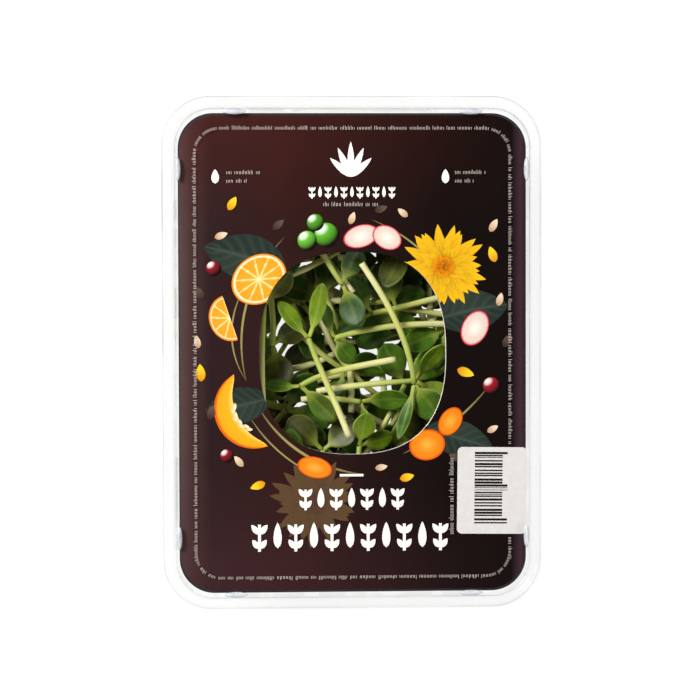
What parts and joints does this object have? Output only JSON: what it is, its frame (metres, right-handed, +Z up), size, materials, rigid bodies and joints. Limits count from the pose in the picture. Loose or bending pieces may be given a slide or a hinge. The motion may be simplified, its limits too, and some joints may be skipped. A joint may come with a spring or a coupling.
{
  "type": "lidded tray of sunflower microgreens",
  "caption": "Shallow clear tray of cut leafy shoots under a press-on clear lid, with a window card in the lid recess and a small sticker on the card.",
  "frame": {"origin": "under the middle of the foot, on the surface that the pack stands on", "axes": "+Z up out of the lid, +Y along the long side towards the top edge of the card, +X towards the side with the sticker"},
  "size_m": [0.1384, 0.187, 0.045],
  "materials": {
    "clear_pet": "thermoformed clear PET",
    "printed_card": "dark brown printed board with a satin varnish",
    "sticker_paper": "matt label paper with plain printed bars",
    "shoot_bright": "fresh light green leaf",
    "shoot_green": "mid green leaf",
    "shoot_dark": "dark green leaf",
    "shoot_olive": "olive leaf"
  },
  "bodies": {
    "root": {"bar_sticker": "sticker_paper", "label_card": "printed_card", "lid": "clear_pet", "shoot_01": "shoot_bright", "shoot_02": "shoot_green", "shoot_03": "shoot_green", "shoot_04": "shoot_olive", "shoot_05": "shoot_green", "shoot_06": "shoot_bright", "shoot_07": "shoot_green", "shoot_08": "shoot_dark", "shoot_09": "shoot_green", "shoot_10": "shoot_bright", "shoot_11": "shoot_green", "shoot_12": "shoot_olive", "shoot_13": "shoot_green", "shoot_14": "shoot_olive", "shoot_15": "shoot_olive", "shoot_16": "shoot_olive", "shoot_17": "shoot_dark", "shoot_18": "shoot_dark", "shoot_19": "shoot_dark", "shoot_20": "shoot_dark", "shoot_21": "shoot_green", "shoot_22": "shoot_dark", "shoot_23": "shoot_olive", "shoot_24": "shoot_green", "shoot_25": "shoot_green", "shoot_26": "shoot_dark", "shoot_27": "shoot_olive", "shoot_28": "shoot_green", "shoot_29": "shoot_green", "shoot_30": "shoot_dark", "shoot_31": "shoot_olive", "shoot_32": "shoot_green", "shoot_33": "shoot_green", "shoot_34": "shoot_dark", "shoot_35": "shoot_olive", "shoot_36": "shoot_green", "shoot_37": "shoot_green", "shoot_38": "shoot_dark", "shoot_39": "shoot_olive", "shoot_40": "shoot_green", "shoot_41": "shoot_green", "shoot_42": "shoot_dark", "shoot_43": "shoot_olive", "shoot_44": "shoot_green", "shoot_45": "shoot_green", "shoot_46": "shoot_dark", "shoot_47": "shoot_olive", "shoot_48": "shoot_green", "shoot_49": "shoot_green", "shoot_50": "shoot_dark", "shoot_52": "shoot_green", "tray": "clear_pet"}
  },
  "joints": []
}
